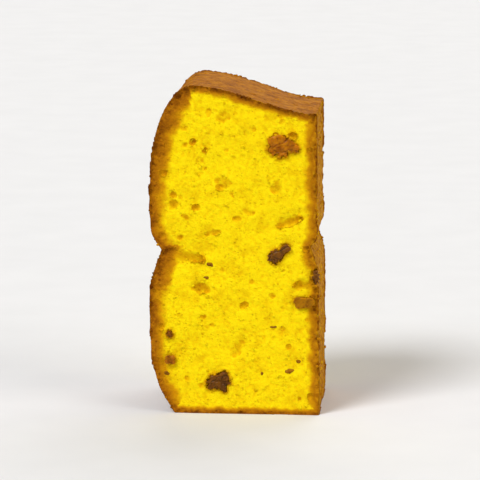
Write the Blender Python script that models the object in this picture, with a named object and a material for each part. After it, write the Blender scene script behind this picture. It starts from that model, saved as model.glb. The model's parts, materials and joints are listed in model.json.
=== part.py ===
"""A slice of fruit sponge cake that stands on one side of its loaf.

The domed top crust faces -X, the bottom crust faces +X, and the two cut faces are at -Y and +Y.
The loaf's other side slopes at the top. Peel, raisins, sultanas and currants sit in pockets of the crumb.
Metres, +Z up, with the origin under the middle of the slice.
"""

import math
from typing import NamedTuple

import bmesh
import bpy
from mathutils import Vector, noise

# Slice
WIDTH = 0.0448  # domed crust to bottom crust
DEPTH = 0.036  # cut face to cut face, over the fruit that stands proud
HEIGHT = 0.086  # one side of the loaf to the other
PROUD = 0.0004  # how far cut fruit may stand out of the crumb

# Profile of the loaf
SHOULDER_WIDTH = 0.0114  # across both shoulders of the domed crust
TOP_SHOULDER = 0.028  # height that the upper shoulder takes
FOOT_SHOULDER = 0.021  # height that the lower shoulder takes
FOOT_PRESSED = 0.002  # how much of the lower side is pressed flat by the slice's weight
SIDE_FALL = 0.0072  # fall of the upper side, from the shoulder to the bottom crust
CRUST_LEAN = 0.0010  # how far the bottom crust leans out from top to foot
MID_SHOULDER = math.radians(45)  # where the facets turn the upper shoulder's corner

# Split along the domed crust
SPLIT_Z = 0.0427
SPLIT_DEPTH = 0.0030
SPLIT_ABOVE = 0.0052
SPLIT_BELOW = 0.0100

# Crease across the bottom crust
CREASE_Z = 0.0442
CREASE_DEPTH = 0.0022
CREASE_ABOVE = 0.0018
CREASE_BELOW = 0.0060

# Surface
COLUMNS, ROWS, LAYERS = 20, 38, 16  # facets across, up and through the slice
EVENING = 60  # rounds of smoothing that even out the facets of a cut face
WAVE_SIZE, WAVE_DEPTH = 0.017, 0.0005
CRUMB_SIZE, CRUMB_DEPTH = 0.0048, 0.0008
CRUST_SIZE, CRUST_DEPTH = 0.0065, 0.0005

# Fruit
GAP = 0.0003  # air between a piece of fruit and its pocket
WRINKLE_SIZE, WRINKLE_DEPTH = 0.0016, 0.00022
FACETS_ACROSS = 5.6  # facets across the widest lobe of a piece of fruit
BULGE = 0.2  # share of a lobe's depth that is left outside the cut

FRONT, BACK = -1, 1
CUT_Y = DEPTH / 2 - PROUD
MM = 0.001


class Tear(NamedTuple):
    """A torn hollow in a cut face. Millimetres, and degrees from +X."""

    face: int
    x: float
    z: float
    long: float
    wide: float
    turn: float
    deep: float


class Lobe(NamedTuple):
    """One rounded part of a piece of fruit, from the piece's centre. Millimetres."""

    x: float
    z: float
    across: float
    tall: float


class Fruit(NamedTuple):
    """A piece of fruit at a cut face: its kind, its centre on the face and how deep it goes. Millimetres."""

    name: str
    kind: str
    face: int
    x: float
    z: float
    deep: float
    lobes: tuple


TEARS = (
    Tear(FRONT, -12.8, 41.8, 13.0, 4.5, -4, 1.1),
    Tear(FRONT, 13.2, 50.8, 10.5, 2.8, 24, 0.8),
    Tear(FRONT, -9.7, 33.0, 4.5, 2.8, 0, 0.6),
    Tear(FRONT, 18.2, 34.1, 4.5, 2.6, 0, 0.6),
    Tear(FRONT, -2.3, 77.0, 4.0, 3.4, 60, 0.5),
    Tear(FRONT, -0.8, 17.5, 7.0, 3.4, -35, 0.6),
    Tear(FRONT, 13.7, 13.5, 8.0, 3.0, 8, 0.5),
    Tear(BACK, -14.0, 42.4, 12.0, 4.5, 6, 1.0),
    Tear(BACK, 6.0, 70.0, 9.0, 3.2, -20, 0.7),
    Tear(BACK, 3.5, 41.0, 6.0, 3.6, 35, 0.8),
    Tear(BACK, 15.0, 33.0, 5.0, 3.0, 0, 0.6),
    Tear(BACK, -3.0, 12.0, 8.0, 3.2, 15, 0.6),
)

FRUIT = (
    Fruit("peel_front", "peel", FRONT, 12.3, 69.8, 2.4,
          (Lobe(-0.7, 0.8, 7.0, 3.8), Lobe(-2.8, -0.2, 3.6, 3.4), Lobe(2.9, -1.1, 4.8, 3.4),
           Lobe(-0.8, -1.7, 2.6, 2.2))),
    Fruit("raisin_front", "raisin", FRONT, 9.9, 41.3, 2.2,
          (Lobe(0, 0, 4.3, 4.2), Lobe(1.8, 1.5, 2.6, 2.2), Lobe(3.3, 2.3, 2.9, 1.9))),
    Fruit("sultana_front", "sultana", FRONT, 17.9, 29.5, 1.8,
          (Lobe(-0.7, 0, 4.4, 3.0), Lobe(0.9, 0.1, 4.0, 2.8))),
    Fruit("raisin_low", "raisin", FRONT, -4.1, 8.3, 2.8,
          (Lobe(0, -0.3, 6.6, 5.6), Lobe(-2.3, 0.2, 3.4, 3.6), Lobe(2.2, 2.1, 2.8, 2.6))),
    Fruit("currant_left", "raisin", FRONT, -17.0, 20.8, 1.4, (Lobe(0, 0, 2.4, 2.7),)),
    Fruit("sultana_left", "sultana", FRONT, -16.7, 14.0, 1.5, (Lobe(0, 0, 3.3, 2.6),)),
    Fruit("crust_raisin", "raisin", FRONT, 21.1, 36.2, 2.6,
          (Lobe(0, -0.6, 3.0, 3.2), Lobe(-0.1, 1.0, 2.8, 2.6))),
    Fruit("raisin_back", "raisin", BACK, -8.5, 66.0, 2.4,
          (Lobe(0, 0, 4.8, 4.0), Lobe(-1.9, 1.2, 2.8, 2.4))),
    Fruit("peel_back", "peel", BACK, -2.5, 28.0, 2.4,
          (Lobe(0, 0, 6.2, 3.8), Lobe(2.4, 1.1, 3.8, 3.2), Lobe(-2.3, -1.0, 3.4, 3.0))),
    Fruit("sultana_back", "sultana", BACK, 9.5, 54.5, 1.9,
          (Lobe(-0.6, 0, 4.6, 3.0), Lobe(1.2, -0.4, 3.6, 2.8))),
    Fruit("raisin_back_low", "raisin", BACK, 13.0, 17.5, 2.5,
          (Lobe(0, 0, 4.6, 5.4), Lobe(1.2, 1.8, 2.8, 2.6))),
    Fruit("currant_back", "raisin", BACK, -16.0, 54.0, 1.5, (Lobe(0, 0, 3.0, 2.5),)),
    Fruit("sultana_back_low", "sultana", BACK, -14.0, 15.0, 1.6,
          (Lobe(0, 0, 3.4, 2.8),)),
)

# Base colour and roughness of each kind
FINISHES = {
    "sponge": ((0.85, 0.55, 0.02), 0.85),
    "peel": ((0.42, 0.14, 0.01), 0.35),
    "raisin": ((0.10, 0.035, 0.008), 0.45),
    "sultana": ((0.33, 0.14, 0.01), 0.40),
}


def clear_scene():
    for item in list(bpy.data.objects):
        bpy.data.objects.remove(item)


def make_finish(kind):
    colour, roughness = FINISHES[kind]
    material = bpy.data.materials.new(kind)
    material.use_nodes = True
    shader = material.node_tree.nodes["Principled BSDF"]
    shader.inputs["Base Color"].default_value = (*colour, 1.0)
    shader.inputs["Roughness"].default_value = roughness
    shader.inputs["Metallic"].default_value = 0.0
    return material


def add_object(name, mesh, collection=None):
    item = bpy.data.objects.new(name, mesh)
    (collection or bpy.context.scene.collection).objects.link(item)
    return item


def apply_modifiers(item):
    """Puts the mesh that the modifiers make in place of the object's own."""
    shown = item.evaluated_get(bpy.context.evaluated_depsgraph_get())
    mesh = bpy.data.meshes.new_from_object(shown)
    item.modifiers.clear()
    item.data = mesh


def join_lobes(item, size):
    """Makes one even, rounded body of this facet size from the lobes that overlap in it."""
    voxels = item.modifiers.new("Even facets", "REMESH")
    voxels.mode = "VOXEL"
    voxels.voxel_size = size
    rounded = item.modifiers.new("Rounded", "SMOOTH")
    rounded.factor = 0.5
    rounded.iterations = 3
    apply_modifiers(item)


def smooth_step(t):
    t = min(max(t, 0.0), 1.0)
    return t * t * (3 - 2 * t)


def shoulder_inset(reach, height):
    """How far the domed crust has turned in, at a reach into a shoulder of this height."""
    t = min(max(reach / height, 0.0), 1.0)
    return SHOULDER_WIDTH * (1 - math.sqrt(1 - t * t))


def notch(reach, above, below, deep):
    """How far a crust has turned in at a height above or below the bottom of a V in it."""
    share = abs(reach) / (above if reach > 0 else below)
    return deep * max(0.0, 1 - share) ** 1.5


def dome_x(z):
    """The domed crust's place at a height, with its two shoulders and the split between them."""
    inset = shoulder_inset(z - (HEIGHT - TOP_SHOULDER), TOP_SHOULDER)
    inset += shoulder_inset(FOOT_SHOULDER - FOOT_PRESSED - z, FOOT_SHOULDER)
    inset += notch(z - SPLIT_Z, SPLIT_ABOVE, SPLIT_BELOW, SPLIT_DEPTH)
    return -WIDTH / 2 + inset


def bottom_crust_x(z):
    """The bottom crust's place at a height, with the crease across it."""
    inset = CRUST_LEAN * smooth_step(z / HEIGHT)
    inset += notch(z - CREASE_Z, CREASE_ABOVE, CREASE_BELOW, CREASE_DEPTH)
    return WIDTH / 2 - inset


def side_z(x):
    """The upper side's height, which falls from the shoulder towards the bottom crust."""
    start = -WIDTH / 2 + SHOULDER_WIDTH
    return HEIGHT - SIDE_FALL * smooth_step((x - start) / (WIDTH / 2 - start))


def evenly(points, count):
    """Points at count + 1 even steps along the way through the given ones."""
    lengths = [0.0]
    for a, b in zip(points, points[1:]):
        lengths.append(lengths[-1] + math.dist(a, b))
    out, leg = [], 0
    for i in range(count + 1):
        at = lengths[-1] * i / count
        while leg < len(points) - 2 and lengths[leg + 1] < at:
            leg += 1
        share = (at - lengths[leg]) / (lengths[leg + 1] - lengths[leg])
        (ax, az), (bx, bz) = points[leg], points[leg + 1]
        out.append((ax + (bx - ax) * share, az + (bz - az) * share))
    return out


def profile_sides(steps=80):
    """The four sides of the profile: up the domed crust, up the bottom crust, along the foot and the top."""
    start = -WIDTH / 2 + SHOULDER_WIDTH
    turn_x = start - SHOULDER_WIDTH * math.cos(MID_SHOULDER)
    turn_z = HEIGHT - TOP_SHOULDER * (1 - math.sin(MID_SHOULDER))
    corner_x = bottom_crust_x(HEIGHT)
    corner_z = side_z(corner_x)
    dome = [(dome_x(turn_z * i / steps), turn_z * i / steps) for i in range(steps + 1)]
    crust = [(bottom_crust_x(corner_z * i / steps), corner_z * i / steps) for i in range(steps + 1)]
    top = []
    for i in range(steps + 1):
        x = turn_x + (corner_x - turn_x) * i / steps
        t = max(0.0, (start - x) / SHOULDER_WIDTH)
        top.append((x, side_z(x) - TOP_SHOULDER * (1 - math.sqrt(1 - t * t))))
    foot = [dome[0], crust[0]]
    return evenly(dome, ROWS), evenly(crust, ROWS), evenly(foot, COLUMNS), evenly(top, COLUMNS)


def profile_point(sides, i, j):
    """The place of a facet corner in the profile, blended from the four sides."""
    dome, crust, foot, top = sides
    u, v = i / COLUMNS, j / ROWS
    place = []
    for k in range(2):
        across = (1 - u) * dome[j][k] + u * crust[j][k]
        up = (1 - v) * foot[i][k] + v * top[i][k]
        corners = (1 - v) * ((1 - u) * foot[0][k] + u * foot[-1][k])
        corners += v * ((1 - u) * top[0][k] + u * top[-1][k])
        place.append(across + up - corners)
    return place


def tear_depth(face, x, z):
    """How deep the torn hollows of a cut face are at a point."""
    deep = 0.0
    for tear in TEARS:
        if tear.face != face:
            continue
        turn = math.radians(tear.turn)
        dx, dz = x - tear.x * MM, z - tear.z * MM
        along = (dx * math.cos(turn) + dz * math.sin(turn)) / (tear.long * MM / 2)
        across = (dz * math.cos(turn) - dx * math.sin(turn)) / (tear.wide * MM / 2)
        deep = max(deep, tear.deep * MM * math.exp(-1.2 * (along**2 + across**2)))
    return deep


def relief(point, normal):
    """How far the crumb and the crusts lie below the slice's smooth form at a point."""
    wave = WAVE_DEPTH * (0.5 + 0.5 * noise.noise(point / WAVE_SIZE))
    crumb = CRUMB_DEPTH * (0.5 + 0.5 * noise.noise(point / CRUMB_SIZE))
    crust = CRUST_DEPTH * (0.5 + 0.5 * noise.noise(point / CRUST_SIZE))
    cut = smooth_step((abs(normal.y) - 0.4) / 0.4)
    deep = wave + crumb * cut + crust * (1 - cut)
    if cut > 0:
        deep += cut * tear_depth(FRONT if normal.y < 0 else BACK, point.x, point.z)
    return deep


def make_sponge(finish):
    """Fills the profile with facets, extrudes it through the slice and gives it its relief."""
    bm = bmesh.new()
    sides = profile_sides()
    grid = []
    for j in range(ROWS + 1):
        places = [profile_point(sides, i, j) for i in range(COLUMNS + 1)]
        grid.append([bm.verts.new((x, CUT_Y, z)) for x, z in places])
    for low, high in zip(grid, grid[1:]):
        for i in range(COLUMNS):
            bm.faces.new((low[i], low[i + 1], high[i + 1], high[i]))
    inner = [vert for row in grid[1:-1] for vert in row[1:-1]]
    for _ in range(EVENING):
        bmesh.ops.smooth_vert(bm, verts=inner, factor=0.5, use_axis_x=True, use_axis_z=True)
    layer = bm.edges[:] + bm.faces[:]
    for _ in range(LAYERS):
        layer = bmesh.ops.extrude_face_region(bm, geom=layer)["geom"]
        moved = [part for part in layer if isinstance(part, bmesh.types.BMVert)]
        bmesh.ops.translate(bm, verts=moved, vec=(0, -2 * CUT_Y / LAYERS, 0))
    bmesh.ops.recalc_face_normals(bm, faces=bm.faces)
    roughen(bm)
    foot = [face for face in bm.faces if all(vert.co.z == 0 for vert in face.verts)]
    bmesh.ops.dissolve_faces(bm, faces=foot, use_verts=True)
    mesh = bpy.data.meshes.new("sponge")
    bm.to_mesh(mesh)
    bm.free()
    mesh.materials.append(finish)
    return add_object("sponge", mesh)


def roughen(bm):
    """Gives the crumb and the crusts their relief. The foot stays flat."""
    bm.normal_update()
    places = [vert.co - vert.normal * relief(vert.co, vert.normal) for vert in bm.verts]
    for vert, place in zip(bm.verts, places):
        if vert.co.z == 0:
            place.z = 0.0
        vert.co = place


def make_fruit(fruit, finish):
    """Joins the lobes in one wrinkled body, which the knife has cut nearly flush with the crumb."""
    bm = bmesh.new()
    centre = Vector((fruit.x * MM, fruit.face * CUT_Y, fruit.z * MM))
    for lobe in fruit.lobes:
        made = bmesh.ops.create_icosphere(bm, subdivisions=3, radius=1.0)["verts"]
        half = Vector((lobe.across / 2, fruit.deep, lobe.tall / 2)) * MM
        for vert in made:
            vert.co = centre + Vector((lobe.x, 0, lobe.z)) * MM + vert.co * half
    mesh = bpy.data.meshes.new(fruit.name)
    bm.to_mesh(mesh)
    bm.free()
    piece = add_object(fruit.name, mesh)
    widest = max(max(lobe.across, lobe.tall) for lobe in fruit.lobes) * MM
    join_lobes(piece, widest / FACETS_ACROSS)
    bm = bmesh.new()
    bm.from_mesh(piece.data)
    bm.normal_update()
    for vert in bm.verts:
        fold = noise.noise(vert.co / WRINKLE_SIZE + Vector((fruit.x, fruit.face, fruit.z)))
        vert.co -= vert.normal * WRINKLE_DEPTH * (0.5 + 0.5 * fold)
        outside = vert.co.y * fruit.face - CUT_Y
        if outside > 0:
            vert.co.y = fruit.face * (CUT_Y + outside * BULGE)
    bm.to_mesh(piece.data)
    bm.free()
    piece.data.materials.append(finish)
    return piece


def add_pocket(piece, pockets):
    """A cutter for the fruit's pocket: the same form, larger by the gap all round."""
    cutter = add_object(piece.name + "_pocket", piece.data.copy(), pockets)
    bm = bmesh.new()
    bm.from_mesh(cutter.data)
    bm.normal_update()
    for place, vert in [(v.co + v.normal * GAP, v) for v in bm.verts]:
        vert.co = place
    bm.to_mesh(cutter.data)
    bm.free()
    cutter.hide_render = True
    cutter.display_type = "WIRE"
    return cutter


def cut_pockets(sponge, pockets):
    cut = sponge.modifiers.new("Fruit pockets", "BOOLEAN")
    cut.operation = "DIFFERENCE"
    cut.solver = "EXACT"
    cut.operand_type = "COLLECTION"
    cut.collection = pockets


def shade(item):
    item.data.shade_smooth()
    item.data.set_sharp_from_angle(angle=math.radians(50))


def main():
    clear_scene()
    finishes = {kind: make_finish(kind) for kind in FINISHES}
    pockets = bpy.data.collections.new("pockets")
    bpy.context.scene.collection.children.link(pockets)
    sponge = make_sponge(finishes["sponge"])
    for fruit in FRUIT:
        piece = make_fruit(fruit, finishes[fruit.kind])
        add_pocket(piece, pockets)
        shade(piece)
    cut_pockets(sponge, pockets)
    shade(sponge)


main()
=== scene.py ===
"""Looks of a slice of fruit sponge cake, made round its solids.

The sponge gets its pores, torn hollows, browned crusts and crumbs, and the fruit its wrinkled skins.
The domed crust faces -X, the bottom crust +X, and the cut faces -Y and +Y. Metres, +Z up.
"""

import json
import math
from typing import NamedTuple

import bpy
import numpy as np
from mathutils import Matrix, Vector, noise
from mathutils.bvhtree import BVHTree


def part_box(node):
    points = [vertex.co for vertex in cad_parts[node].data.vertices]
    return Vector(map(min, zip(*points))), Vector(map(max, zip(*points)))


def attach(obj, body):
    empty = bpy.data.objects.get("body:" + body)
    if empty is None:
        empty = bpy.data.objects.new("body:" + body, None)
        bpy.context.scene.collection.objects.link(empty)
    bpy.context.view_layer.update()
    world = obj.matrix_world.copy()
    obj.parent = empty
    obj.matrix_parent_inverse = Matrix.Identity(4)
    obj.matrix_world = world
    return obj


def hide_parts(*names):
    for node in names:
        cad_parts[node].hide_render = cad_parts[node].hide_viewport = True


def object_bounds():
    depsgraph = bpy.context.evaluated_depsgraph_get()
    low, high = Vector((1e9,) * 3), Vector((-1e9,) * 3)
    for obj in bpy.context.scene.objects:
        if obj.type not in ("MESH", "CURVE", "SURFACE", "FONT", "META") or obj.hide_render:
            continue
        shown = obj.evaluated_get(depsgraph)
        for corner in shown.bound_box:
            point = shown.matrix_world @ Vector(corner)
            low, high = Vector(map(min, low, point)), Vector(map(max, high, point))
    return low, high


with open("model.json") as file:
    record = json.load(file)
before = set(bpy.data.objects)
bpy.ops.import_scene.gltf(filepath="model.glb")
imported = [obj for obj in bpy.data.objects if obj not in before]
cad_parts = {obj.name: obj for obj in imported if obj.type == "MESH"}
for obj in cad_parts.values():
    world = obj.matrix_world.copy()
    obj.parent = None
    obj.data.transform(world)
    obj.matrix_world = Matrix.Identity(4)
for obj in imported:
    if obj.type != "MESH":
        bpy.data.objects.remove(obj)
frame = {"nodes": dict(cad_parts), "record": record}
SOLID_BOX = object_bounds()

MM = 0.001
FRONT, BACK = -1, 1
CAKE = "root"

# How squarely a triangle faces the way that its face or crust does, as the cosine of the angle between
CUT_FACING = 0.7
CRUST_FACING = {"dome": 0.6, "side": 0.8, "base": 0.7}
OFF_CUT = 0.5  # crusts face the cut faces' way by less than this
NEAR_X = 0.7  # what faces the slice's X by more than this has its forms laid along Y

# Sponge
VOXEL = 0.28 * MM
FINE_VOXEL = VOXEL * 0.8  # of the pores, which are cut finer than the rest
SHARP_CORNER = math.radians(38)
CUT_EDGE = (0.0150, 0.0164)  # where the crusts end and the cut faces start, from the slice's middle
CRUST_THINNED_TO = 0.0162
CUT_THINNED_FROM = 0.0152
CRUST_TRIANGLES = 95000
CUT_TRIANGLES = 178000
SPONGE_TRIANGLES = 195000
FOOT_LEVEL = 1.0 * MM  # what faces down below this is left flat
# Where the weights of the faces rise from 0 to 1, as cosines
FOOT_EDGE = (0.3, 0.8)
CUT_FACE_EDGE = (0.2, 0.6)
BASE_EDGE = (0.4, 0.8)
WEIGHT_STEPS = 12
SPONGE_SEED = 41
# Relief: (name, size, depth, pattern, vertex group)
SPONGE_RELIEF = (
    ("torn crumb", 4.2 * MM, 0.42 * MM, "VORONOI_F2_F1", "cut"),
    ("crumb", 1.7 * MM, 0.36 * MM, "VORONOI_F2_F1", "cut"),
    ("grain", 0.75 * MM, 0.26 * MM, "BLENDER_ORIGINAL", "cut"),
    ("dimples", 2.2 * MM, 0.30 * MM, "BLENDER_ORIGINAL", "skinned"),
    ("coarse base", 1.5 * MM, 0.60 * MM, "VORONOI_F1", "base"),
)
# How hollows are told from level crumb: (rounds of smoothing, depth, share)
HOLLOW_SCALES = ((4, 0.16 * MM, 0.2), (32, 0.50 * MM, 0.32))

# Pores
FRUIT_CLEARANCE = 0.5 * MM
FRUIT_NEAR = 2 * MM  # what lies further in front of a fruit or behind it is clear of it
POCKET_REACH = 0.36 * MM  # the pockets' walls lie this near to the fruit
PORES = {FRONT: 300, BACK: 400}
PORE_RADIUS = (0.28 * MM, 0.74 * MM)
PORE_CROWD = 3.0  # how much commoner small pores are than large ones
PORE_STRETCH = ((0.95, 0.7, 0.75), (1.6, 1.05, 1.15))  # least and most along, up and in
PORE_SUNK = (-0.65, 0.15)  # how far in its middle lies, of its radius
PORE_TURN = 0.5  # radians from lying along the slice's X
PORE_CLUSTERS = 7 * MM
PORE_KEPT, PORE_KEPT_MORE = 0.75, 0.9  # the share of pores that is left, and how much more in a cluster
PORE_JOINED = 0.38 * MM  # wider pores have smaller ones run into them
JOINED_PORES = 3
JOINED_SIZE = (0.35, 0.75)  # of the wide pore's radius, as is how far apart they lie
JOINED_APART = 0.75
PORE_LUMPS = 0.8 * MM
PORE_UNEVEN = 0.50 * MM
TORN_PORES = (3, 1.5)  # torn into the rim of a front pore: at least, and more for each millimetre of it
TORN_SIZE = (0.25, 0.6)  # of half the front pore's height

# Crusts
PINHOLES = {"dome": 170, "side": 170, "base": 620}
PINHOLE_RADIUS = (0.24 * MM, 0.60 * MM)
PINHOLE_STRETCH = ((0.9, 0.8, 0.9), (1.5, 1.1, 1.3))
PINHOLE_SUNK = (-0.2, 0.4)
CRUST_THICK = 0.55 * MM
CRUST_REACH = 12 * MM  # the crusts are measured no further than this from the middle of the slice
DOME_BAND = 4.2 * MM
SHOULDER_BAND = 6.0 * MM
SIDE_BAND = 1.5 * MM
BASE_BAND = 2.9 * MM
BAND_RAGGED = 0.95 * MM
RAGGED_SCALES = ((3.2 * MM, 1.0), (1.2 * MM, 0.7))  # (size, share)
SHOULDER_FADE = 1.6  # how much more slowly the brown fades at the shoulder
FRUIT_SHADE_REACH = 1.3 * MM  # how far the crumb is painted browner round the fruit, as painted shade of the gap between them
FRUIT_SHADE_DEPTH = 0.60
PORE_SHADE_REACH = (0.62, 0.75)  # how far the painted shade round a front pore reaches, of its length and height
PORE_SHADE_FADE = (0.35, 1.0)  # where it fades, of that reach

# Loose crumbs that cling to the faces
LUMP_CORNERS = 26
CRUMB_SEED = 7
CLINGING = {FRONT: 380, BACK: 420}
CLINGING_RADIUS = (0.13 * MM, 0.36 * MM)
CLINGING_CROWD = 1.6
CLINGING_STRETCH = (0.75, 1.3)
CLINGING_ABOVE = 1.2 * MM  # none lies lower than this
LUMP_UNEVEN = (0.72, 1.18)  # how far a lump's corners lie from its middle
CRUMB_HOLLOW = (0.15, 0.75)
CRUMB_OCHRE = (0.0, 0.5)
BASE_CRUMB_TONE = (0.3, 1.0)
BASE_CRUMBS = 240
RIM_CRUMBS = {FRONT: 230, BACK: 180}
RIM_REACH = 0.8 * MM
RIM_RADIUS = (0.20 * MM, 0.45 * MM)

# Fruit
FRUIT_VOXEL = 0.17 * MM
FRUIT_SWELL = 0.22 * MM
FRUIT_PROUD = 0.15 * MM
FRUIT_RELIEF = 0.5  # how much of what stands further out is kept
FRUIT_LUMPS = (0.6 * MM, 0.14 * MM)  # size, depth
CREASE_STRETCH = (0.55, 1.0, 1.0)
CREASE_SHARPNESS = 1.5
CREASES_APART = 1.7  # how far along the pattern each fruit takes its creases from the last one's
NOTCH_WIDTH = (0.18, 0.42)  # radians round the rim
NOTCH_SINK = 0.25  # how much of a notch's depth also goes straight in
NOTCH_FROM, NOTCH_RISE = 0.35, 0.6  # where notches start, from the fruit's middle, and reach full depth
NOTCH_SHIFT = (-0.3, 0.3)  # of the way to the next notch
NOTCH_DEPTH = (0.35, 1.0)  # of the deepest for its kind
SPECK_LUMPS = (0.7 * MM, 0.45 * MM)  # size, depth
SPECK_DEEP = 0.45  # of its lesser width
SPECK_SUNK = 0.55  # of its depth
SPECK_LEVEL_FROM = 40  # nearest triangles that give the level of the crumb

# Stage and view
FLOOR_RADIUS = 3.0
FLOOR_TONES = ((0.3, (0.72, 0.735, 0.76)), (0.7, (0.74, 0.755, 0.78)))
WALL = (0.89, 0.89, 0.88, 1.0)
GLOW = (1.0, 0.94, 0.86, 1.0)
GLOW_STRENGTH = 0.22
VIEW_TURN = math.radians(4.5)
VIEW_RISE = math.radians(10)
VIEW_DISTANCE = 0.76
VIEW_HEIGHT = 0.126
SENSOR = 0.036


class Pore(NamedTuple):
    """A pore or tear that stands out on the front cut face, with how much painted shade lies round it.
    Millimetres, and degrees from +X.
    """

    x: float
    z: float
    long: float
    tall: float
    turn: float
    deep: float
    ochre_tone_and_pore_shade: float


class Speck(NamedTuple):
    """A scrap of fruit in a cut face. Millimetres, and degrees from +X."""

    face: int
    x: float
    z: float
    long: float
    tall: float
    turn: float


class Skin(NamedTuple):
    """How a kind of fruit has dried: creases as (size, depth, width), and notches round its rim."""

    creases: tuple
    notches: int
    notch_depth: float


class Look(NamedTuple):
    """The finish of a dried fruit: its dark colour, which also serves as painted shade in its creases, its
    light colour, and how rough, glossy and clear it is.
    """

    name: str
    dark: tuple
    light: tuple
    roughness: float
    gloss: float
    glow: float


class Sun(NamedTuple):
    """Soft light from a turn round the slice, 0 being square to the front, and a height, in degrees."""

    name: str
    turn: float
    rise: float
    strength: float
    softness: float
    colour: tuple


SUNS = (
    Sun("key", -38, 48, 2.45, 25, (1.0, 1.0, 1.0)),
    Sun("fill", 62, 25, 1.15, 40, (1.0, 0.93, 0.84)),
    Sun("back", 165, 35, 1.5, 60, (1.0, 0.95, 0.88)),
)

# By material slot
SKINS = {
    "raisin": Skin(((2.0 * MM, 0.60 * MM, 0.22), (1.0 * MM, 0.28 * MM, 0.25)), 9, 1.2 * MM),
    "sultana": Skin(((1.8 * MM, 0.35 * MM, 0.20), (0.9 * MM, 0.15 * MM, 0.25)), 4, 0.4 * MM),
    "peel": Skin(((2.4 * MM, 0.70 * MM, 0.20), (1.1 * MM, 0.30 * MM, 0.25)), 6, 1.0 * MM),
}
LOOKS = {
    "raisin": Look("raisin_skin", (0.035, 0.010, 0.001), (0.18, 0.062, 0.002), 0.30, 0.15, 0.15),
    "sultana": Look("sultana_skin", (0.15, 0.048, 0.001), (0.43, 0.180, 0.002), 0.40, 0.07, 0.3),
    "peel": Look("candied_peel", (0.20, 0.050, 0.001), (0.50, 0.175, 0.001), 0.26, 0.10, 0.4),
}

# By node
CURRANT_LOOK = Look("currant_skin", (0.050, 0.014, 0.001), (0.27, 0.085, 0.002), 0.32, 0.12, 0.2)
OWN_LOOKS = {
    "currant_left": CURRANT_LOOK,
    "currant_back": CURRANT_LOOK,
    "sultana_left": Look("dark_sultana_skin", (0.13, 0.032, 0.001), (0.40, 0.140, 0.002), 0.34, 0.10, 0.3),
}
SCRAP_LOOK = Look("fruit_scrap", (0.12, 0.040, 0.001), (0.36, 0.150, 0.002), 0.45, 0.1, 0.3)

FRONT_PORES = (
    Pore(-10.7, 71.0, 1.2, 1.1, 0, 0.9, 0.9),
    Pore(-12.7, 70.1, 1.6, 0.9, 10, 0.4, 0.4),
    Pore(-13.1, 74.4, 1.2, 1.9, 80, 0.4, 0.3),
    Pore(-3.1, 77.2, 3.4, 2.2, 30, 0.4, 0.35),
    Pore(19.1, 69.1, 1.1, 1.0, 0, 0.8, 0.7),
    Pore(12.1, 76.3, 1.6, 1.0, 15, 0.4, 0.4),
    Pore(4.6, 74.4, 1.8, 1.0, -20, 0.4, 0.4),
    Pore(2.1, 67.6, 1.4, 1.0, 0, 0.4, 0.3),
    Pore(-8.1, 25.4, 1.4, 1.1, 30, 0.6, 0.6),
    Pore(-5.9, 23.3, 1.7, 1.0, 0, 0.4, 0.6),
    Pore(0.5, 17.2, 4.2, 2.2, 60, 0.4, 0.35),
    Pore(-15.8, 54.6, 2.6, 1.7, 25, 0.5, 0.6),
    Pore(-14.0, 56.6, 1.3, 1.1, 40, 0.4, 0.4),
    Pore(-12.6, 51.4, 3.2, 0.9, -25, 0.5, 0.5),
    Pore(-18.2, 62.8, 1.5, 1.1, -30, 0.8, 1.0),
    Pore(9.6, 31.2, 1.2, 1.4, 60, 0.5, 0.5),
    Pore(-3.4, 37.8, 1.5, 1.0, -30, 0.4, 0.4),
    Pore(-8.3, 66.0, 1.0, 0.9, 0, 0.4, 0.4),
    Pore(10.8, 59.6, 2.8, 2.2, 30, 0.4, 0.5),
    Pore(-3.0, 60.6, 4.0, 2.6, 10, 0.4, 0.4),
    Pore(-13.0, 41.3, 11.0, 2.2, -9, 0.8, 0.7),
    Pore(14.3, 50.5, 9.0, 1.3, 20, 0.7, 0.7),
    Pore(17.8, 33.9, 4.8, 1.8, 0, 0.5, 0.7),
    Pore(-9.1, 33.1, 4.2, 2.1, 0, 0.5, 0.9),
    Pore(3.2, 53.0, 3.4, 1.4, -15, 0.3, 0.3),
    Pore(-5.5, 47.4, 4.4, 1.2, 10, 0.3, 0.3),
    Pore(12.4, 22.0, 3.0, 1.6, 15, 0.3, 0.3),
)

# How much wider and taller than its solid the skin of a fruit is
FRUIT_GROWN = (1.10, 1.10)
GROWN = {
    "peel_front_skin": (1.06, 1.42),
    "raisin_front_skin": (1.10, 1.20),
    "sultana_front_skin": (1.15, 1.15),
    "currant_left_skin": (1.25, 1.25),
    "sultana_left_skin": (1.10, 1.25),
}

# Notches in the rim of a fruit: (degrees from +X as seen from the front, depth in millimetres)
RIM_NOTCHES = {
    "raisin_front_skin": (
        (88, 1.5), (-8, 1.5), (130, 0.8), (165, 1.2), (198, 0.8), (232, 1.2), (262, 0.7), (305, 1.0)),
    "peel_front_skin": (
        (-20, 0.8), (-48, 2.2), (-66, 2.5), (-96, 0.9), (-124, 1.4), (-150, 0.7), (168, 0.6)),
}

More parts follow.
